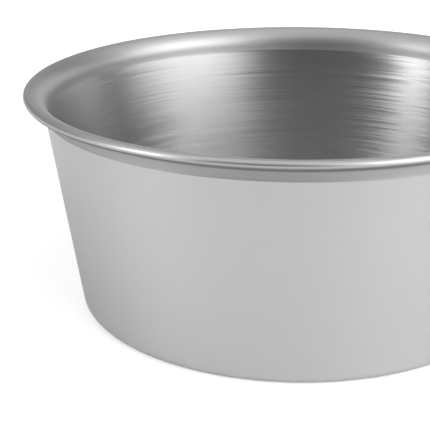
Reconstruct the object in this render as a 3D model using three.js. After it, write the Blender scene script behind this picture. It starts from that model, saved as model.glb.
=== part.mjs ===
// A shallow candle tin: one cup drawn from a single disc of stainless sheet, with a turned-over
// lip and a rolled bead, and the wick set that stands on its floor.
// Millimetres, +Z up. The origin is the middle of the underside of the base.
import * as THREE from 'three';

// Tin body
const rimDiameter = 90; // over the rolled bead
const overallHeight = 37.3; // underside of the base to the top of the bead
const sheetThickness = 0.4;
const beadDiameter = 1.4; // outside of the rolled bead
const curlTurn = 270; // degrees that the raw edge is rolled under, from the top of the bead
const lipRadius = 3; // top surface of the lip, where it turns over
const neckDepth = 3.9; // top of the bead down to the drawn line round the neck
const neckTaper = 2; // degrees from upright, above the drawn line
const wallTaper = 8.6; // degrees from upright, below the drawn line
const cornerRadius = 1.5; // outside of the corner between the wall and the base
const tinSides = 72; // flats round the tin

// Wick set
const stickerDiameter = 18;
const stickerThickness = 0.8;
const tabDiameter = 15;
const tabSheet = 0.3;
const tabNeckHeight = 6; // underside of the tab to the top of its neck
const tabBendRadius = 0.9; // middle of the sheet, where the tab turns up into its neck
const wickDiameter = 2.4;
const wickLength = 19;
const wickTipChamfer = 0.3;
const wickClearance = 0.3; // between the wick and the bore of the neck, all round
const seatGap = 0.3; // between pieces that rest on each other
const wickSides = 24; // flats round the pieces of the wick set

const steel = new THREE.MeshStandardMaterial({ color: 0xc3c4c5, metalness: 1, roughness: 0.32 });
const tinplate = new THREE.MeshStandardMaterial({ color: 0xb4b5b6, metalness: 1, roughness: 0.25 });
const foam = new THREE.MeshStandardMaterial({ color: 0xf1f0ea, metalness: 0, roughness: 0.9 });
const cotton = new THREE.MeshStandardMaterial({ color: 0xf0e8d2, metalness: 0, roughness: 0.85 });

const sine = (degrees) => Math.sin(THREE.MathUtils.degToRad(degrees));
const cosine = (degrees) => Math.cos(THREE.MathUtils.degToRad(degrees));

// A sheet-metal section is a row of stations along the middle of the sheet. Each has its distance
// from the axis, its height and its heading: the way the sheet runs, in degrees above level.
const station = (r, z, heading) => ({ r, z, heading });

// Stations round a bend. turn is 1 where the heading grows along the bend, and -1 where it falls.
function bend(centreR, centreZ, radius, turn, fromHeading, toHeading, steps) {
  const stations = [];
  for (let step = 0; step <= steps; step += 1) {
    const heading = fromHeading + ((toHeading - fromHeading) * step) / steps;
    const r = centreR + turn * radius * sine(heading);
    const z = centreZ - turn * radius * cosine(heading);
    stations.push(station(r, z, heading));
  }
  return stations;
}

// The two faces of the sheet, half a thickness to each side of its stations, as one outline: along
// the right-hand face and back along the left-hand one.
function sheetOutline(stations, thickness) {
  const face = (side) => stations.map(({ r, z, heading }) => new THREE.Vector2(
    r - (side * thickness * sine(heading)) / 2,
    z + (side * thickness * cosine(heading)) / 2,
  ));
  return [...face(-1), ...face(1).reverse()];
}

function revolved(name, outline, sides, material) {
  const geometry = new THREE.LatheGeometry(outline, sides);
  geometry.rotateX(Math.PI / 2);
  const mesh = new THREE.Mesh(geometry, material);
  mesh.name = name;
  return mesh;
}

// The path starts at the middle of the base and runs out, up the wall and over the lip into the
// bead. The bead and the lip fix the neck, the neck fixes the wall, and the wall fixes the base.
function tinBody() {
  const half = sheetThickness / 2;
  const neckHeading = 90 - neckTaper;
  const wallHeading = 90 - wallTaper;

  const beadBend = beadDiameter / 2 - half;
  const beadR = (rimDiameter - beadDiameter) / 2;
  const topZ = overallHeight - half;
  const curl = bend(beadR, topZ - beadBend, beadBend, -1, 0, -curlTurn, 10);

  const lipBend = lipRadius - half;
  const lip = bend(beadR, topZ - lipBend, lipBend, -1, neckHeading, 0, 7);

  const neckTop = lip[0];
  const lineZ = overallHeight - neckDepth;
  const lineR = neckTop.r - ((neckTop.z - lineZ) * cosine(neckHeading)) / sine(neckHeading);
  const drawnLine = station(lineR, lineZ, (neckHeading + wallHeading) / 2);

  const cornerBend = cornerRadius - half;
  const wallFootZ = half + cornerBend * (1 - cosine(wallHeading));
  const wallFootR = lineR - ((lineZ - wallFootZ) * cosine(wallHeading)) / sine(wallHeading);
  const cornerR = wallFootR - cornerBend * sine(wallHeading);
  const corner = bend(cornerR, half + cornerBend, cornerBend, 1, 0, wallHeading, 4);

  const section = [station(0, half, 0), ...corner, drawnLine, ...lip, ...curl.slice(1)];
  return revolved('tin_body', sheetOutline(section, sheetThickness), tinSides, steel);
}

// A solid disc or rod on the axis, with a small chamfer round its top edge.
function chamferedRod(name, diameter, bottomZ, topZ, chamfer, material) {
  const radius = diameter / 2;
  const outline = [
    new THREE.Vector2(0, bottomZ),
    new THREE.Vector2(radius, bottomZ),
    new THREE.Vector2(radius, topZ - chamfer),
    new THREE.Vector2(radius - chamfer, topZ),
    new THREE.Vector2(0, topZ),
  ];
  return revolved(name, outline, wickSides, material);
}

// A flat tab whose middle is pressed up into an open neck round the wick.
function wickSustainer(undersideZ) {
  const middleZ = undersideZ + tabSheet / 2;
  const neckR = wickDiameter / 2 + wickClearance + tabSheet / 2;
  const turnUp = bend(neckR + tabBendRadius, middleZ + tabBendRadius, tabBendRadius, -1, 180, 90, 5);
  const section = [
    station(tabDiameter / 2, middleZ, 180),
    ...turnUp,
    station(neckR, undersideZ + tabNeckHeight, 90),
  ];
  const outline = sheetOutline(section, tabSheet);
  outline.push(outline[0].clone());
  return revolved('wick_sustainer', outline, wickSides, tinplate);
}

const stickerZ = sheetThickness + seatGap;
const stickerTopZ = stickerZ + stickerThickness;
const tabZ = stickerTopZ + seatGap;
const stickerChamfer = stickerThickness / 4;

const candleTin = new THREE.Group();
candleTin.add(tinBody());
candleTin.add(chamferedRod('wick_sticker', stickerDiameter, stickerZ, stickerTopZ, stickerChamfer, foam));
candleTin.add(wickSustainer(tabZ));
candleTin.add(chamferedRod('wick', wickDiameter, tabZ, tabZ + wickLength, wickTipChamfer, cotton));

export default candleTin;
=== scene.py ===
# %% [markdown]
# A shallow candle tin, drawn from one disc of stainless sheet.
#
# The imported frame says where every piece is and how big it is. This file gives those pieces
# their finished surfaces: the drawn tin, the foam sticker on its floor, the pressed tab on the
# sticker and the braided wick in the tab. Everything is in metres, +Z up, and the origin is the
# middle of the underside of the base.

import math

import bpy
import numpy as np
from mathutils import Matrix, Vector


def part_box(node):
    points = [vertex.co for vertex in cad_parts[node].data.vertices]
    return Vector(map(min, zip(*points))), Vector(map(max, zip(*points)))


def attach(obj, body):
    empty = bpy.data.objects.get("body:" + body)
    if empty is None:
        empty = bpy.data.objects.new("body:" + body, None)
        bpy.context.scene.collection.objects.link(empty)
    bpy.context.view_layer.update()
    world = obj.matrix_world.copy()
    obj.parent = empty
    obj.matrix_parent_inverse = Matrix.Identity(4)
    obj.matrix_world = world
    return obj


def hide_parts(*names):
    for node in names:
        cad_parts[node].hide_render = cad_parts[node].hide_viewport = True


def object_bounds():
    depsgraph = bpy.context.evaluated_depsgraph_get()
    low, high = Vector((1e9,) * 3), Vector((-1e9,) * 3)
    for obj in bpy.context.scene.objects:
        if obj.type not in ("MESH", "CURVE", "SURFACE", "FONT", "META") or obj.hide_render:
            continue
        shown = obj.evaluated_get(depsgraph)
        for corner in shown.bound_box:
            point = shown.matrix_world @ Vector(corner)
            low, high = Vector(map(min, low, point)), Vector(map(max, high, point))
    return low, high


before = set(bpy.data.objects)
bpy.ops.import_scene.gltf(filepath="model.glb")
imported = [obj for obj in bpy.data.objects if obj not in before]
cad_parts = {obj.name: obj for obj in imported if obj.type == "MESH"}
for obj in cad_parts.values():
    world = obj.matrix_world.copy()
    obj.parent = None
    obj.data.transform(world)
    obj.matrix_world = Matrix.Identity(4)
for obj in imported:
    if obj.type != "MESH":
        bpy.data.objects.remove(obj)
cad_low, cad_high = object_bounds()
MM = 0.001
MICRON = 0.000001
TURN = 2 * math.pi

print("CAD pieces:", ", ".join(sorted(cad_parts)))
print("CAD box, mm:", [round(v / MM, 2) for v in (*cad_low, *cad_high)])

# %% [markdown]
# ## The camera
#
# A catalogue view of a small tin is taken from a little above the rim with a long lens, so that
# the mouth shows as a slim ellipse. The tin fills the frame and its right side runs out of it. The
# camera is placed from the rim: how far away it is, how far down it looks and how far the tin sits
# from the middle. The distances are counted in rim radii.

# %% The camera, placed from the rim
BEAD_R = 0.7 * MM
rim_r = cad_high.x
bead_z = cad_high.z - BEAD_R
look_down = math.radians(20.21)
lean = math.radians(-0.585)
LENS_MM = 100.5
SENSOR_MM = 36.0
distance, aside, below = 4.4353 * rim_r, 0.3003 * rim_r, -0.4838 * rim_r

forward = Vector((0, math.cos(look_down), -math.sin(look_down)))
level_right = Vector((1, 0, 0))
level_up = Vector((0, math.sin(look_down), math.cos(look_down)))
right = math.cos(lean) * level_right + math.sin(lean) * level_up
up = math.cos(lean) * level_up - math.sin(lean) * level_right

camera_data = bpy.data.cameras.new("catalogue_camera")
camera = bpy.data.objects.new("catalogue_camera", camera_data)
bpy.context.scene.collection.objects.link(camera)
camera_data.lens = LENS_MM
camera_data.sensor_width = SENSOR_MM
camera_data.clip_start = 0.01
camera_data.clip_end = 20
place = Vector((0, 0, bead_z)) - distance * forward - aside * right + below * up
axes = Matrix((right, up, -forward)).transposed()
camera.matrix_world = Matrix.Translation(place) @ axes.to_4x4()
bpy.context.scene.camera = camera
print("camera stands", round(place.length / MM), "mm from the tin")

# %% [markdown]
# ## Small helpers
#
# Paint charts and product sheets give colours as sRGB hex values, but light adds up in linear
# numbers, so one function converts them. Another adds a node to a material and joins it up: its
# settings are named, and each input is either a value or the output that feeds it. A third starts
# a material that has nothing but its output.

# %% Colour and nodes
def linear(hex_colour):
    parts = [int(hex_colour[i : i + 2], 16) / 255 for i in (1, 3, 5)]
    curve = [c / 12.92 if c <= 0.04045 else ((c + 0.055) / 1.055) ** 2.4 for c in parts]
    return (*curve, 1.0)


def add(tree, kind, inputs=None, **settings):
    made = tree.nodes.new(kind)
    for name, value in settings.items():
        setattr(made, name, value)
    for key, value in (inputs or {}).items():
        if isinstance(value, bpy.types.NodeSocket):
            tree.links.new(value, made.inputs[key])
        else:
            made.inputs[key].default_value = value
    return made


def new_material(name):
    material = bpy.data.materials.new(name)
    material.use_nodes = True
    tree = material.node_tree
    tree.nodes.clear()
    output = add(tree, "ShaderNodeOutputMaterial")
    return material, tree, output


print("middle grey #808080 in linear light:", [round(c, 3) for c in linear("#808080")])

# %% [markdown]
# ## Sheet metal as a path
#
# A drawn tin is one thickness of sheet that follows a path from the middle of the base to the
# raw edge inside the bead. A path is kept as stations: distance from the axis, height, and
# heading, which is how steeply the sheet runs. Straight runs and bends join up exactly when each
# bend starts at the heading where the last piece ended, as they do when a press forms them.
#
# The same could be done with a curve and a Screw modifier. Stations in code were chosen because
# both faces of the sheet, and the places where one finish gives way to another, come from them.

# %% Stations, bends and runs
END_SPACING = 0.12 * MM


def bend(centre_r, centre_z, radius, turn, start, end, steps):
    """turn is 1 where the heading grows along the bend and -1 where it falls. Headings in degrees."""
    headings = np.radians(np.linspace(start, end, steps + 1))
    r = centre_r + turn * radius * np.sin(headings)
    z = centre_z - turn * radius * np.cos(headings)
    return np.column_stack([r, z, headings])


def run(start, end, spacing):
    """Stations along a straight run, without its ends, at most spacing apart and closer near the ends."""
    length = math.dist(start[:2], end[:2])
    heading = math.atan2(end[1] - start[1], end[0] - start[0])
    near = min(END_SPACING, spacing / 2)
    steps = max(2, math.ceil(length / spacing))
    shares = np.concatenate([[near / length], np.linspace(0, 1, steps + 1)[1:-1], [1 - near / length]])
    r = start[0] + shares * (end[0] - start[0])
    z = start[1] + shares * (end[1] - start[1])
    return np.column_stack([r, z, np.full(len(shares), heading)])


def faces_of_sheet(path, thickness):
    """The right-hand and the left-hand face of the sheet along a path."""
    across = np.column_stack([-np.sin(path[:, 2]), np.cos(path[:, 2])]) * thickness / 2
    return path[:, :2] - across, path[:, :2] + across


print("a station is (distance from the axis, height, heading)")

# %% [markdown]
# ## Turning a section into a solid
#
# Everything here is round about one axis, so one function spins a section into a mesh. A section
# that starts and ends on the axis closes with a single point at each end, and one that closes on
# itself makes a ring.

# %% Spinning a section round the axis
def spin(name, section, around, finish_of_row=None):
    """section is a row of (r, z), anticlockwise. finish_of_row gives each row of faces its material."""
    on_axis = section[0][0] == 0
    body = section[1:-1] if on_axis else section
    angles = np.arange(around) * TURN / around
    ring = np.column_stack([np.cos(angles), np.sin(angles)])
    vertices = [(r * c, r * s, z) for r, z in body for c, s in ring]
    faces, finishes = [], []
    rows = len(body) - 1 if on_axis else len(body)
    for row in range(rows):
        here, there = row * around, (row + 1) % len(body) * around
        for i in range(around):
            j = (i + 1) % around
            faces.append((here + i, here + j, there + j, there + i))
            finishes.append(finish_of_row[row + on_axis] if finish_of_row is not None else 0)
    if on_axis:
        first, last = len(vertices), len(vertices) + 1
        vertices += [(0, 0, section[0][1]), (0, 0, section[-1][1])]
        end = (len(body) - 1) * around
        for i in range(around):
            j = (i + 1) % around
            faces.append((first, j, i))
            faces.append((last, end + i, end + j))
            finishes += [finish_of_row[0], finish_of_row[-1]] if finish_of_row is not None else [0, 0]
    mesh = bpy.data.meshes.new(name)
    mesh.from_pydata(vertices, [], faces)
    mesh.polygons.foreach_set("material_index", finishes)
    mesh.polygons.foreach_set("use_smooth", [True] * len(faces))
    mesh.validate()
    piece = bpy.data.objects.new(name, mesh)
    bpy.context.scene.collection.objects.link(piece)
    return piece


AROUND_TIN, AROUND_SMALL = 288, 96
print("the tin is spun in", AROUND_TIN, "steps and small pieces in", AROUND_SMALL)

# %% [markdown]
# ## The drawn tin
#
# The real tin starts as a flat disc. A punch draws it into a cup in one or two strokes, the lip
# is turned over, and the raw edge is rolled under into a bead so that no hand meets a sharp edge.
# The wall leans out by a few degrees more than the neck does, and a soft bend joins them.
#
# Sizes are the tin's own: the overall ones come from the frame, the rest are its fixed details.

# %% The tin's own sizes
SHEET = 0.4 * MM
CURL_TURN = 285
LIP_R = 3.0 * MM
NECK_DEPTH = 3.9 * MM
NECK_TAPER, WALL_TAPER = 2.0, 8.6
CORNER_R = 1.5 * MM
NECK_BEND_R = 6.0 * MM
print("sheet:", round(SHEET / MM, 2), "mm, bead:", round(2 * BEAD_R / MM, 2), "mm thick")

# %% [markdown]
# The path goes from the middle of the base outwards and up: floor, corner, wall, neck, lip and the
# curl of the bead. Where one part ends, the next takes over its place and its heading.

# %% The path of the sheet
neck_heading, wall_heading = 90 - NECK_TAPER, 90 - WALL_TAPER
neck_angle, wall_angle = math.radians(neck_heading), math.radians(wall_heading)
bead_centre_r, top_z = rim_r - BEAD_R, cad_high.z - SHEET / 2
bead_bend, lip_bend, corner_bend = BEAD_R - SHEET / 2, LIP_R - SHEET / 2, CORNER_R - SHEET / 2

curl = bend(bead_centre_r, top_z - bead_bend, bead_bend, -1, 0, -CURL_TURN, steps=40)
lip = bend(bead_centre_r, top_z - lip_bend, lip_bend, -1, neck_heading, 0, steps=28)
line_z = cad_high.z - NECK_DEPTH
line_r = lip[0][0] - (lip[0][1] - line_z) / math.tan(neck_angle)
foot_z = SHEET / 2 + corner_bend * (1 - math.cos(wall_angle))
foot_r = line_r - (line_z - foot_z) / math.tan(wall_angle)
corner_r = foot_r - corner_bend * math.sin(wall_angle)
corner = bend(corner_r, SHEET / 2 + corner_bend, corner_bend, 1, 0, wall_heading, steps=14)

floor_run = run((0, SHEET / 2), corner[0], spacing=3 * MM)
half_bend = NECK_BEND_R * math.tan(math.radians(wall_heading - neck_heading) / -2)
bend_r = line_r - half_bend * math.cos(wall_angle)
bend_z = line_z - half_bend * math.sin(wall_angle)
neck_bend = bend(bend_r - NECK_BEND_R * math.sin(wall_angle), bend_z + NECK_BEND_R * math.cos(wall_angle),
                 NECK_BEND_R, 1, wall_heading, neck_heading, steps=14)
wall_run = run(corner[-1], neck_bend[0], spacing=1 * MM)
neck_run = run(neck_bend[-1], lip[0], spacing=0.1 * MM)

centre_station = np.array([[0, SHEET / 2, 0]])
path = np.vstack([centre_station, floor_run, corner, wall_run, neck_bend, neck_run, lip, curl[1:]])
print("wall meets the neck line at radius", round(line_r / MM, 2), "mm")
print("flat part of the base is", round(2 * corner_r / MM, 1), "mm across")

# %% [markdown]
# Both faces of the sheet are spun together as one closed skin: out along the underside, up the
# outside, round the bead, and back down the inside. The rows of faces are told apart by where
# they lie, because each part of a drawn tin ends up with a finish of its own.
#
# The edge of the die leaves a faint line round the outside, at the neck. It stands out by only a
# few hundredths of a millimetre, but bright metal shows it, so the outer face gets it as a shape.

# %% Spin the tin
INSIDE, OUTSIDE, BEAD, FLARE, LIP = 0, 1, 2, 3, 4
LINE_HEIGHT, LINE_WIDTH = 0.03 * MM, 0.2 * MM
outer_face, inner_face = faces_of_sheet(path, SHEET)
outer_face[0][0] = inner_face[0][0] = 0
outer_face[:, 0] += LINE_HEIGHT * np.exp(-(((outer_face[:, 1] - line_z) / LINE_WIDTH) ** 2))
section = np.vstack([outer_face, inner_face[::-1]])
in_curl = np.arange(len(path)) >= len(path) - len(curl)
above_neck = path[:, 1] > line_z
outside_finish = [BEAD if c else FLARE if a else OUTSIDE for c, a in zip(in_curl, above_neck)]
inside_finish = [BEAD if c else LIP if a else INSIDE for c, a in zip(in_curl, above_neck)]
row_finish = outside_finish + inside_finish[::-1]
tin = spin("drawn_tin_body", section, AROUND_TIN, row_finish)
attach(tin, "root")
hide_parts("tin_body")
print("tin skin:", len(section), "rows,", len(tin.data.polygons), "faces")

# %% [markdown]
# ## Stainless steel, five finishes
#
# The tin is stainless steel, which is grey with a trace of warmth. Inside, it is brushed round
# and round with an abrasive band while the tin spins. Each scratch throws light across itself and
# not along itself, so highlights stretch up and down the wall into soft bands. That is an
# anisotropic metal: the tangent runs round the axis, and the highlight is turned a quarter turn
# from it.
#
# No scratch is quite true. Its floor leans a few degrees to one side, so next to a highlight
# some scratches catch the light and their neighbours miss it. The lean is made by tipping the
# normal along the tangent, a different amount for each streak of noise. A colour pattern could
# draw the same lines, but they would show everywhere, and the real ones only show in the light.
#
# The lip is turned over after that, and the roller mats it, so its light is softer than the wall's.
# Outside, the sheet keeps the fine satin of the polishing wheel, and the rolling of the bead
# burnishes it a little. The wheel can't follow the underside of the lip up to the bead. That part
# stays duller, as it left the press, and its darker grey is partly painted shade under the lip. The
# crease under the bead is painted darker still: painted shade where the bead hangs over the lip.
#
# The scratches need a coordinate that follows the sheet. Height plus radius does that: it keeps
# growing across the floor, up the wall and over the lip. Noise that is stretched along the circle
# and squeezed along that coordinate gives arcs a few centimetres long and a fraction of a
# millimetre wide. Real scratches are nearer 0.03 mm, too fine to show, so these are drawn coarser.

# %% Scratch coordinates
def along_the_sheet(tree, arc_mm, width_mm):
    """A vector whose noise is arc_mm long round the axis and width_mm wide along the sheet."""
    coords = add(tree, "ShaderNodeTexCoord")
    parts = add(tree, "ShaderNodeSeparateXYZ", {0: coords.outputs["Object"]})
    flat = add(tree, "ShaderNodeCombineXYZ", {0: parts.outputs[0], 1: parts.outputs[1]})
    radius = add(tree, "ShaderNodeVectorMath", {0: flat.outputs[0]}, operation="LENGTH")
    up_sheet = add(tree, "ShaderNodeMath", {0: radius.outputs["Value"], 1: parts.outputs[2]})
    vector = add(
        tree, "ShaderNodeCombineXYZ", {0: parts.outputs[0], 1: parts.outputs[1], 2: up_sheet.outputs[0]}
    )
    scale = (1 / (arc_mm * MM), 1 / (arc_mm * MM), 1 / (width_mm * MM))
    scaled = add(tree, "ShaderNodeVectorMath", {0: vector.outputs[0], 1: scale}, operation="MULTIPLY")
    return scaled.outputs[0]


print("scratches follow radius plus height, which is", round((rim_r + bead_z) / MM), "mm at the bead")

# %% Painted shade in the crease under the bead
CREASE_LOW, CREASE_HIGH = bead_z - 1.5 * MM, bead_z - 0.4 * MM
CREASE_FADE = 0.4 * MM


def add_crease_shade(tree, shader, depth):
    """Paints shade into the crease under the bead: darkens the shader's own colour there by depth, and
    nowhere else.
    """
    coords = add(tree, "ShaderNodeTexCoord")
    height = add(tree, "ShaderNodeSeparateXYZ", {0: coords.outputs["Object"]}).outputs[2]
    above = add(tree, "ShaderNodeMapRange", {
        "Value": height, "From Min": CREASE_LOW - CREASE_FADE, "From Max": CREASE_LOW},
        interpolation_type="SMOOTHSTEP")
    below = add(tree, "ShaderNodeMapRange", {
        "Value": height, "From Min": CREASE_HIGH + CREASE_FADE, "From Max": CREASE_HIGH},
        interpolation_type="SMOOTHSTEP")
    both = add(tree, "ShaderNodeMath", {0: above.outputs[0], 1: below.outputs[0]}, operation="MULTIPLY")
    # Painted shade: the colour is scaled down inside the crease band, as shade under the bead.
    unshaded_share = add(tree, "ShaderNodeMath", {0: both.outputs[0], 1: -depth, 2: 1.0}, operation="MULTIPLY_ADD")
    steel = shader.inputs["Base Color"].default_value[:3]
    tone = add(tree, "ShaderNodeVectorMath", {0: steel, "Scale": unshaded_share.outputs[0]}, operation="SCALE")
    tree.links.new(tone.outputs[0], shader.inputs["Base Color"])


print("the crease is", round((CREASE_HIGH - CREASE_LOW) / MM, 2), "mm high")

# %% Scratches that lean
NOISE_LOW, NOISE_HIGH = 0.3, 0.7
LEAN_ARC, LEAN_WIDTH = 1.4, 2.2


def leaning_normal(tree, tangent, arc_mm, width_mm, lean_degrees):
    """The normal, tipped along the tangent by up to about lean_degrees, streak by streak."""
    streaks = along_the_sheet(tree, arc_mm * LEAN_ARC, width_mm * LEAN_WIDTH)
    leans = add(tree, "ShaderNodeTexNoise", {"Vector": streaks, "Scale": 1, "Detail": 3, "Roughness": 0.65})
    most = math.tan(math.radians(lean_degrees))
    lean_by = add(tree, "ShaderNodeMapRange", {
        "Value": leans.outputs[0], "From Min": NOISE_LOW, "From Max": NOISE_HIGH,
        "To Min": -most, "To Max": most}, clamp=False)
    geometry = add(tree, "ShaderNodeNewGeometry")
    sideways = add(tree, "ShaderNodeVectorMath", {0: tangent, "Scale": lean_by.outputs[0]},
                   operation="SCALE")
    leaning = add(tree, "ShaderNodeVectorMath", {0: geometry.outputs["Normal"], 1: sideways.outputs[0]})
    return add(tree, "ShaderNodeVectorMath", {0: leaning.outputs[0]}, operation="NORMALIZE").outputs[0]


print("a leaning streak is", LEAN_ARC, "times as long as a scratch and", LEAN_WIDTH, "times as wide")

# %% One recipe for all the steel
QUARTER_TURN = 0.25


def stainless(name, colour, roughness, spread, anisotropy, width_mm, arc_mm, depth_um, lean_degrees,
              crease_shade=0.0):
    """spread is how far roughness strays from scratch to scratch, and depth_um is how deep they are."""
    material, tree, output = new_material(name)
    scratches = add(tree, "ShaderNodeTexNoise", {
        "Vector": along_the_sheet(tree, arc_mm, width_mm), "Scale": 1, "Detail": 2, "Roughness": 0.6})
    tangent = add(tree, "ShaderNodeTangent", direction_type="RADIAL", axis="Z").outputs[0]
    leaning = leaning_normal(tree, tangent, arc_mm, width_mm, lean_degrees)
    bump = add(tree, "ShaderNodeBump", {"Height": scratches.outputs[0], "Strength": 1,
                                        "Distance": depth_um * MICRON, "Normal": leaning})
    rough = add(tree, "ShaderNodeMapRange", {
        "Value": scratches.outputs[0], "From Min": NOISE_LOW, "From Max": NOISE_HIGH,
        "To Min": roughness - spread, "To Max": roughness + spread})
    shader = add(tree, "ShaderNodeBsdfPrincipled", {
        "Base Color": linear(colour), "Metallic": 1, "Roughness": rough.outputs[0],
        "Normal": bump.outputs[0], "Anisotropic": anisotropy, "Anisotropic Rotation": QUARTER_TURN,
        "Tangent": tangent})
    # Painted shade: the crease under the bead is darkened in the colour of the finishes that ask for it.
    if crease_shade:
        add_crease_shade(tree, shader, crease_shade)
    tree.links.new(shader.outputs[0], output.inputs[0])
    return material


print("the highlight is turned by", QUARTER_TURN, "of a turn from the tangent")

# %% The five finishes
finishes = {
    INSIDE: stainless("stainless_steel_brushed_round", "#bfbfc0", roughness=0.34, spread=0.05,
                      anisotropy=0.7, width_mm=0.16, arc_mm=40, depth_um=1.8, lean_degrees=2.9),
    OUTSIDE: stainless("stainless_steel_satin", "#d1d0d1", roughness=0.38, spread=0.04,
                       anisotropy=0.45, width_mm=0.2, arc_mm=45, depth_um=0.8, lean_degrees=2.4),
    # The bead and the underside of the lip are painted darker in the crease between them, as painted shade.
    BEAD: stainless("stainless_steel_burnished_bead", "#c4c4c3", roughness=0.38, spread=0.02,
                    anisotropy=0.2, width_mm=0.2, arc_mm=10, depth_um=0.2, lean_degrees=0.3, crease_shade=0.6),
    # The underside of the lip is a darker grey than the outside: duller metal, and partly painted shade
    # under the lip.
    FLARE: stainless("stainless_steel_as_drawn_and_shaded", "#b3b3b3", roughness=0.55, spread=0.03,
                     anisotropy=0.3, width_mm=0.2, arc_mm=45, depth_um=0.8, lean_degrees=2.4, crease_shade=0.6),
    LIP: stainless("stainless_steel_rolled_lip", "#bfbfc0", roughness=0.50, spread=0.03,
                   anisotropy=0.5, width_mm=0.2, arc_mm=30, depth_um=0.8, lean_degrees=1.5),
}
for index in sorted(finishes):
    tin.data.materials.append(finishes[index])
print("tin finishes:", [m.name for m in tin.data.materials])

# %% [markdown]
# ## The foam sticker
#
# A wick set is held down by a round of double-sided foam tape, die-cut from sheet. The cut pinches
# the foam, so its side bulges a little between the two tight edges. It fills the space between
# the floor of the tin and the tab.

# %% Cut the sticker
BULGE, BULGE_SHAPE = 0.22 * MM, 0.6
SIDE_ROWS = 13
floor_z = cad_low.z + SHEET
sticker_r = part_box("wick_sticker")[1].x
tab_low, tab_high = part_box("wick_sustainer")
heights = np.linspace(floor_z, tab_low.z, SIDE_ROWS)
share = (heights - floor_z) / (tab_low.z - floor_z)
side = sticker_r - BULGE * (1 - np.sin(np.pi * share) ** BULGE_SHAPE)
halfway = sticker_r / 2
sticker_section = [(0, floor_z), (halfway, floor_z), *zip(side, heights),
                   (halfway, tab_low.z), (0, tab_low.z)]
sticker = spin("foam_wick_sticker", sticker_section, AROUND_SMALL)
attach(sticker, "root")
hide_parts("wick_sticker")
print("sticker is", round((tab_low.z - floor_z) / MM, 2), "mm thick")

# %% [markdown]
# The foam is white polyethylene with fine closed cells. It scatters light softly and has no
# shine, and its cut side shows the cells as a fine pebbling about 0.2 mm across.

# %% Polyethylene foam
CELL_SIZE, CELL_DEPTH = 0.22 * MM, 0.05 * MM
foam, tree, output = new_material("polyethylene_foam_die_cut")
coords = add(tree, "ShaderNodeTexCoord")
cells = add(tree, "ShaderNodeTexVoronoi", {"Vector": coords.outputs["Object"], "Scale": 1 / CELL_SIZE})
white = add(tree, "ShaderNodeMapRange", {
    "Value": cells.outputs[0], "From Max": 0.8, "To Min": 0.82, "To Max": 0.9})
tint = add(tree, "ShaderNodeVectorMath", {0: linear("#fffdf6")[:3], 1: white.outputs[0]},
           operation="MULTIPLY")
pebbles = add(tree, "ShaderNodeBump", {"Height": cells.outputs[0], "Strength": 0.5, "Distance": CELL_DEPTH})
shader = add(tree, "ShaderNodeBsdfPrincipled", {
    "Base Color": tint.outputs[0], "Roughness": 0.8, "IOR": 1.5, "Normal": pebbles.outputs[0]})
tree.links.new(shader.outputs[0], output.inputs[0])
sticker.data.materials.append(foam)
print("foam cells:", round(CELL_SIZE / MM, 2), "mm across")

# %% [markdown]
# ## The wick tab
#
# The tab, or sustainer, is a disc of thin tinplate with its middle pressed up into a neck. The
# press also raises a shallow ring that stiffens the disc. Once the wick is in, a tool pinches the
# neck from four sides, and the pinches are what holds the wick.
#
# The tab is spun like the tin, and then each pinch pushes the neck inward in code, which keeps the
# sheet's thickness where a boolean cut would not.

# %% The section of the tab
wick_low, wick_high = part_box("wick")
TAB_SHEET = 0.3 * MM
TAB_BEND = 0.9 * MM
RING_R, RING_WIDTH, RING_HEIGHT = 5.6 * MM, 0.55 * MM, 0.28 * MM
WICK_GAP = 0.3 * MM
tab_r = tab_high.x
neck_middle_r = wick_high.x + WICK_GAP + TAB_SHEET / 2
tab_z = tab_low.z + TAB_SHEET / 2
turn_up = bend(neck_middle_r + TAB_BEND, tab_z + TAB_BEND, TAB_BEND, -1, 180, 90, steps=16)
disc = run((tab_r, tab_z), turn_up[0], spacing=0.15 * MM)
ring_shape = np.exp(-(((disc[:, 0] - RING_R) / RING_WIDTH) ** 2))
slope = ring_shape * RING_HEIGHT * 2 * (disc[:, 0] - RING_R) / RING_WIDTH**2
disc[:, 1] += RING_HEIGHT * ring_shape
disc[:, 2] = math.pi - np.arctan(slope)
neck_top = (neck_middle_r, tab_high.z)
neck = run(turn_up[-1], neck_top, spacing=0.2 * MM)
rim_of_disc = np.array([[tab_r, tab_z, math.pi]])
end_of_neck = np.array([[*neck_top, math.pi / 2]])
tab_path = np.vstack([rim_of_disc, disc, turn_up, neck, end_of_neck])
over, under = faces_of_sheet(tab_path, TAB_SHEET)
print("the neck of the tab stands", round((tab_high.z - tab_low.z) / MM, 2), "mm high")

# %% Spin the tab and pinch its neck
PINCHES, PINCH_DEPTH, PINCH_HEIGHT, PINCH_WIDTH = 4, 0.27 * MM, 1.0 * MM, 0.55 * MM
PINCH_DROP = 2.1 * MM
tab = spin("crimped_wick_tab", np.vstack([over, under[::-1]]), AROUND_SMALL)
pinch_z = tab_high.z - PINCH_DROP
step = TURN / PINCHES
for vertex in tab.data.vertices:
    x, y, z = vertex.co
    radius, angle = math.hypot(x, y), math.atan2(y, x)
    off = (angle / step - round(angle / step)) * step * neck_middle_r
    if z > tab_low.z + TAB_BEND + TAB_SHEET:
        push = PINCH_DEPTH * math.exp(-(((z - pinch_z) / PINCH_HEIGHT) ** 4) - (off / PINCH_WIDTH) ** 2)
        vertex.co.x *= 1 - push / radius
        vertex.co.y *= 1 - push / radius
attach(tab, "root")
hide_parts("wick_sustainer")
print("tab:", len(tab.data.vertices), "points, pinched in", PINCHES, "places")

# %% [markdown]
# Tinplate is steel with a thin bright coat of tin. It leaves the press shiny, with faint straight
# rolling marks from the mill. They all run one way, so their noise is stretched along one axis of
# the sheet and not round the tab.

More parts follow.
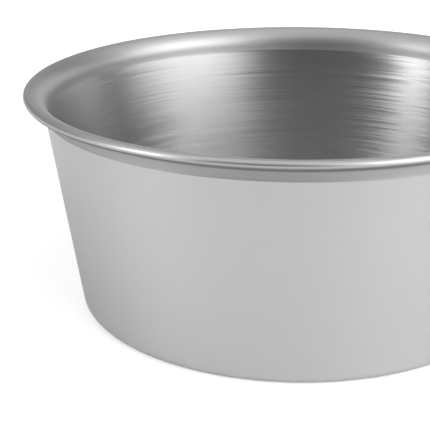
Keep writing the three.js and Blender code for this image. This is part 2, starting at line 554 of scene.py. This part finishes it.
# %% Tinplate
MARK_LENGTH, MARK_WIDTH, MARK_DEPTH = 4 * MM, 0.12 * MM, 0.4 * MICRON
tinplate, tree, output = new_material("tinplate_bright_pressed")
coords = add(tree, "ShaderNodeTexCoord")
rolled = add(tree, "ShaderNodeVectorMath", {
    0: coords.outputs["Object"], 1: (1 / MARK_LENGTH, 1 / MARK_WIDTH, 1 / MARK_LENGTH)},
    operation="MULTIPLY")
marks = add(tree, "ShaderNodeTexNoise", {"Vector": rolled.outputs[0], "Scale": 1, "Detail": 2})
shine = add(tree, "ShaderNodeMapRange", {
    "Value": marks.outputs[0], "From Min": NOISE_LOW, "From Max": NOISE_HIGH,
    "To Min": 0.14, "To Max": 0.26})
ripple = add(tree, "ShaderNodeBump", {"Height": marks.outputs[0], "Strength": 1, "Distance": MARK_DEPTH})
shader = add(tree, "ShaderNodeBsdfPrincipled", {
    "Base Color": linear("#d5d6d7"), "Metallic": 1, "Roughness": shine.outputs[0],
    "Normal": ripple.outputs[0]})
tree.links.new(shader.outputs[0], output.inputs[0])
tab.data.materials.append(tinplate)
print("rolling marks run along X, about", round(MARK_WIDTH / MM, 2), "mm apart")

# %% [markdown]
# ## The wick
#
# A container wick is braided from cotton yarns round a thin core and dipped in wax, so it stands
# up by itself and is cut off square. It is built as it is braided: half of the yarns wind one way
# and half the other, and each rides over and under the ones that it crosses. The over and under
# is one cosine along the length, with opposite signs for the two directions.
#
# A plain rod with a bump could stand for it from far off. Real yarns are chosen because the
# outline of the wick, and its cut end, show the braid.

# %% The line of a yarn
YARNS_EACH_WAY = 4
BRAID_PITCH = 7.0 * MM
BRAID_R = 0.83 * MM
YARN_HALF_WIDTH, YARN_HALF_THICK = 0.5 * MM, 0.19 * MM
WEAVE = 0.15 * MM
LEAN, LEAN_SIDEWAYS = 0.5 * MM, 0.4


def wick_middle(z):
    """The wick stands straight in the neck and leans a little above it."""
    free = max(0.0, (z - tab_high.z) / (wick_high.z - tab_high.z))
    return np.array([LEAN * free**2, LEAN_SIDEWAYS * LEAN * free**2, 0])


def yarn(start_angle, way, top_z):
    """Rings of points along one yarn. way is 1 or -1, for the two directions of winding."""
    steps, sides = 130, 12
    turns = np.arange(sides) * TURN / sides
    rings = []
    for k in range(steps + 1):
        z = wick_low.z + (top_z - wick_low.z) * k / steps
        climb = (z - wick_low.z) / BRAID_PITCH * TURN
        angle = start_angle + way * climb
        radius = BRAID_R + way * WEAVE * math.cos(YARNS_EACH_WAY * climb)
        outward = np.array([math.cos(angle), math.sin(angle), 0])
        round_axis = np.array([-math.sin(angle), math.cos(angle), 0])
        along = way * round_axis * radius * TURN / BRAID_PITCH + np.array([0, 0, 1])
        along /= np.linalg.norm(along)
        flat = np.cross(along, outward)
        centre = outward * radius + np.array([0, 0, z]) + wick_middle(z)
        wide, thick = flat * YARN_HALF_WIDTH, outward * YARN_HALF_THICK
        rings.append([centre + wide * math.cos(t) + thick * math.sin(t) for t in turns])
    return rings


print("a yarn goes once round in", round(BRAID_PITCH / MM, 1), "mm")

# %% Rings into tubes
def tube(rings, vertices, faces):
    """Adds a closed tube through rings of points, with a flat cap at each end."""
    sides, first = len(rings[0]), len(vertices)
    vertices += [tuple(p) for ring in rings for p in ring]
    for k in range(len(rings) - 1):
        for i in range(sides):
            j = (i + 1) % sides
            a, b = first + k * sides, first + (k + 1) * sides
            faces.append((a + i, a + j, b + j, b + i))
    faces.append(tuple(first + i for i in reversed(range(sides))))
    last = first + (len(rings) - 1) * sides
    faces.append(tuple(last + i for i in range(sides)))


print("a yarn is", round(2 * YARN_HALF_WIDTH / MM, 2), "mm wide")

# %% Braid the wick
CORE_R, CORE_DROP = 0.72 * MM, 0.3 * MM
CORE_SIDES, CORE_RINGS = 16, 40
RAGGED = 0.25
wick_length = wick_high.z - wick_low.z
dice = np.random.default_rng(7)
vertices, faces = [], []
for way in (1, -1):
    for number in range(YARNS_EACH_WAY):
        top_z = wick_high.z - dice.uniform(0, RAGGED) * MM
        tube(yarn(number * TURN / YARNS_EACH_WAY, way, top_z), vertices, faces)
core_turns = np.arange(CORE_SIDES) * TURN / CORE_SIDES
core_heights = np.linspace(wick_low.z, wick_high.z - CORE_DROP, CORE_RINGS)
core = [[np.array([CORE_R * math.cos(t), CORE_R * math.sin(t), z]) + wick_middle(z) for t in core_turns]
        for z in core_heights]
tube(core, vertices, faces)
mesh = bpy.data.meshes.new("braided_wick")
mesh.from_pydata(vertices, [], faces)
mesh.polygons.foreach_set("use_smooth", [True] * len(faces))
wick = bpy.data.objects.new("braided_wick", mesh)
bpy.context.scene.collection.objects.link(wick)
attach(wick, "root")
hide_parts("wick")
print("wick:", 2 * YARNS_EACH_WAY, "yarns round a core,", round(wick_length / MM, 1), "mm long")

# %% [markdown]
# The cotton is unbleached, a warm white, and the wax darkens it a little and gives it a dull
# shine. Its fibres show as fine lines along the yarns, a few hundredths of a millimetre apart on a
# real wick. They are drawn upright and 0.1 mm apart here, as coarse as they need to be to show.

# %% Waxed cotton
FIBRE_WIDTH, FIBRE_LENGTH, FIBRE_DEPTH = 0.1 * MM, 0.5 * MM, 0.03 * MM
cotton, tree, output = new_material("cotton_braided_and_waxed")
coords = add(tree, "ShaderNodeTexCoord")
fibres = add(tree, "ShaderNodeVectorMath", {
    0: coords.outputs["Object"], 1: (1 / FIBRE_WIDTH, 1 / FIBRE_WIDTH, 1 / FIBRE_LENGTH)},
    operation="MULTIPLY")
strands = add(tree, "ShaderNodeTexNoise", {"Vector": fibres.outputs[0], "Scale": 1, "Detail": 3})
tone = add(tree, "ShaderNodeValToRGB", {0: strands.outputs[0]})
shaded, lit = tone.color_ramp.elements
shaded.position, shaded.color = 0.35, linear("#d9cba6")
lit.position, lit.color = 0.65, linear("#f3ead2")
fuzz = add(tree, "ShaderNodeBump", {"Height": strands.outputs[0], "Strength": 0.6, "Distance": FIBRE_DEPTH})
shader = add(tree, "ShaderNodeBsdfPrincipled", {
    "Base Color": tone.outputs[0], "Roughness": 0.5, "IOR": 1.45, "Normal": fuzz.outputs[0]})
tree.links.new(shader.outputs[0], output.inputs[0])
wick.data.materials.append(cotton)
print("fibres:", round(FIBRE_WIDTH / MM, 2), "mm wide")

# %% [markdown]
# ## The studio
#
# Bright metal shows the room more than itself, so the lights are the larger part of its look. A
# slim bright soft box stands to the left and a broad one to the right, both on the camera's side
# of the tin. Each makes a bright band on the wall inside. A long low box behind the tin and a dim
# one behind it on the left keep the rest from going black, and a soft light covers the ceiling.
# Light reaches the middle of the wall from low behind the tin, by way of the wall opposite. There
# is little of it there, so the middle shows as a dark upright band.
#
# Area lights could do this, but their hard edges would show in the steel. The soft boxes are
# painted on the world instead, where each one can fade out towards its edges.

# %% The table
TABLE_HALF = 6.0
TABLE_CLEARANCE = 0.02 * MM
corners = [(x * TABLE_HALF, y * TABLE_HALF, 0) for x, y in ((-1, -1), (1, -1), (1, 1), (-1, 1))]
table_mesh = bpy.data.meshes.new("shooting_table")
table_mesh.from_pydata(corners, [], [(0, 1, 2, 3)])
table = bpy.data.objects.new("shooting_table", table_mesh)
bpy.context.scene.collection.objects.link(table)
table.location.z = cad_low.z - TABLE_CLEARANCE
print("table:", 2 * TABLE_HALF, "m square")

# %% [markdown]
# The table is white acrylic. A catalogue washes its tables out to white afterwards, and here a
# little glow does that, for the camera only, so that the steel still reflects the real table.

# %% White acrylic
TABLE_GLOW = 0.45
acrylic, tree, output = new_material("white_acrylic_sheet")
seen = add(tree, "ShaderNodeLightPath")
glow = add(tree, "ShaderNodeMath", {0: seen.outputs["Is Camera Ray"], 1: TABLE_GLOW}, operation="MULTIPLY")
shader = add(tree, "ShaderNodeBsdfPrincipled", {
    "Base Color": linear("#f3f3f3"), "Roughness": 0.9, "Specular IOR Level": 0.1,
    "Emission Color": linear("#ffffff"), "Emission Strength": glow.outputs[0]})
tree.links.new(shader.outputs[0], output.inputs[0])
table_mesh.materials.append(acrylic)
print("the table glows by", TABLE_GLOW, "for the camera")

# %% [markdown]
# The room is a world, so each point of it is a direction. The level part of a direction says how
# far round the tin it lies, and its height says how far up. A soft box is bright where both are
# within its edges and fades out past them. The camera itself sees plain white everywhere.

# %% The directions in the room
world = bpy.data.worlds.new("studio_room")
bpy.context.scene.world = world
world.use_nodes = True
tree = world.node_tree
tree.nodes.clear()
coords = add(tree, "ShaderNodeTexCoord")
direction = add(tree, "ShaderNodeSeparateXYZ", {0: coords.outputs["Generated"]})
level = add(tree, "ShaderNodeCombineXYZ", {0: direction.outputs[0], 1: direction.outputs[1]})
level = add(tree, "ShaderNodeVectorMath", {0: level.outputs[0]}, operation="NORMALIZE")
print("the room is painted on", world.name)

# %% A soft box
def sine(degrees):
    return math.sin(math.radians(degrees))


def cosine(degrees):
    return math.cos(math.radians(degrees))


def soft_box(azimuth, half_width, fade, top, top_fade, brightness):
    """Angles in degrees. Azimuth counts from the back, clockwise from above. A box stands on the table."""
    facing = add(tree, "ShaderNodeVectorMath", {0: level.outputs[0], 1: (sine(azimuth), cosine(azimuth), 0)},
                 operation="DOT_PRODUCT")
    across = add(tree, "ShaderNodeMapRange", {
        "Value": facing.outputs["Value"], "From Min": cosine(half_width + fade),
        "From Max": cosine(half_width)}, interpolation_type="SMOOTHSTEP")
    upward = add(tree, "ShaderNodeMapRange", {
        "Value": direction.outputs[2], "From Min": sine(top + top_fade),
        "From Max": sine(top)}, interpolation_type="SMOOTHSTEP")
    panel = add(tree, "ShaderNodeMath", {0: across.outputs[0], 1: upward.outputs[0]}, operation="MULTIPLY")
    bright = add(tree, "ShaderNodeMath", {0: panel.outputs[0], 1: brightness}, operation="MULTIPLY")
    return bright.outputs[0]


print("a direction 30 degrees up has a height of", round(sine(30), 2))

# %% The room, with its soft boxes
CEILING_LIGHT = 0.85
CEILING_STARTS, CEILING_FULL = 34, 43
WHITE_FOR_CAMERA = 1.0
ceiling = add(tree, "ShaderNodeMapRange", {
    "Value": direction.outputs[2], "From Min": sine(CEILING_STARTS),
    "From Max": sine(CEILING_FULL)}, interpolation_type="SMOOTHSTEP")
light = add(tree, "ShaderNodeMath", {0: ceiling.outputs[0], 1: CEILING_LIGHT}, operation="MULTIPLY")
soft_boxes = [
    soft_box(azimuth=-113, half_width=6, fade=6, top=34, top_fade=10, brightness=4.4),
    soft_box(azimuth=124, half_width=2, fade=42, top=46, top_fade=6, brightness=3.3),
    soft_box(azimuth=35, half_width=5, fade=54, top=9, top_fade=16, brightness=1.35),
    soft_box(azimuth=-60, half_width=30, fade=40, top=30, top_fade=14, brightness=0.35),
]
for panel in soft_boxes:
    light = add(tree, "ShaderNodeMath", {0: light.outputs[0], 1: panel})
seen = add(tree, "ShaderNodeLightPath")
strength = add(tree, "ShaderNodeMix", {
    "Factor": seen.outputs["Is Camera Ray"], "A": light.outputs[0], "B": WHITE_FOR_CAMERA})
room = add(tree, "ShaderNodeBackground", {"Color": linear("#ffffff"), "Strength": strength.outputs[0]})
add(tree, "ShaderNodeOutputWorld", {0: room.outputs[0]})
bpy.context.scene.view_settings.view_transform = "Standard"
print("light comes from", len(soft_boxes), "soft boxes and the ceiling")
